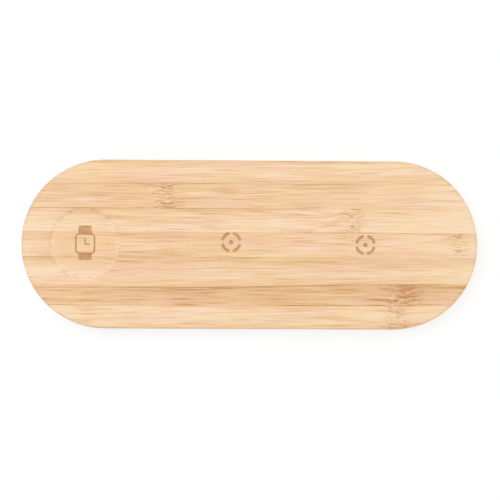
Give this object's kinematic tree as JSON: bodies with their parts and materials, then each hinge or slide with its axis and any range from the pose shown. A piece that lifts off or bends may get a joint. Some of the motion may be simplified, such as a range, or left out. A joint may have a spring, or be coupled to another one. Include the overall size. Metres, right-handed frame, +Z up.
{
  "type": "charging station organizer",
  "caption": "Flat stadium-shaped bamboo pad that charges a watch, earbuds and a phone side by side, with a dished watch spot and a cable socket at the rear.",
  "frame": {"origin": "on the surface that the pad stands on, under the middle of its outline", "axes": "+X along the pad from the watch spot to the phone spot, +Y to the rear wall with the socket, +Z up"},
  "size_m": [0.23, 0.085, 0.012],
  "materials": {
    "bamboo": "pale natural bamboo, sanded and oiled, satin",
    "cover_plastic": "black moulded plastic with a fine spark texture",
    "foot_silicone": "dark grey silicone, matt",
    "screw_steel": "zinc plated steel",
    "board_laminate": "green solder mask",
    "socket_metal": "nickel plated stainless steel",
    "socket_plastic": "black moulded plastic",
    "chip_resin": "black moulded resin",
    "inductor_core": "pressed iron powder",
    "capacitor_body": "tan ceramic",
    "led_body": "clear resin on a white body",
    "clear_light_pipe": "clear polished acrylic",
    "coil_copper": "enamelled copper strand",
    "ferrite": "sintered ferrite, dull",
    "adhesive_sheet": "milky double-sided sheet",
    "foam": "closed-cell foam",
    "magnet_plating": "nickel plating"
  },
  "bodies": {
    "root": {"bamboo_case": "bamboo", "base_cover": "cover_plastic", "foot_front_left": "foot_silicone", "foot_front_right": "foot_silicone", "foot_rear_left": "foot_silicone", "foot_rear_right": "foot_silicone", "cover_screws": "screw_steel", "board_screws": "screw_steel", "main_board": "board_laminate", "usb_c_shell": "socket_metal", "usb_c_tongue": "socket_plastic", "driver_chips": "chip_resin", "power_inductors": "inductor_core", "resonant_capacitors": "capacitor_body", "status_led": "led_body", "led_light_pipe": "clear_light_pipe", "watch_coil": "coil_copper", "earbud_coil": "coil_copper", "phone_coil": "coil_copper", "watch_ferrite": "ferrite", "earbud_ferrite": "ferrite", "phone_ferrite": "ferrite", "watch_coil_tape": "adhesive_sheet", "earbud_coil_tape": "adhesive_sheet", "phone_coil_tape": "adhesive_sheet", "watch_foam_pad": "foam", "earbud_foam_pad": "foam", "phone_foam_pad": "foam", "watch_magnet": "magnet_plating"}
  },
  "joints": []
}
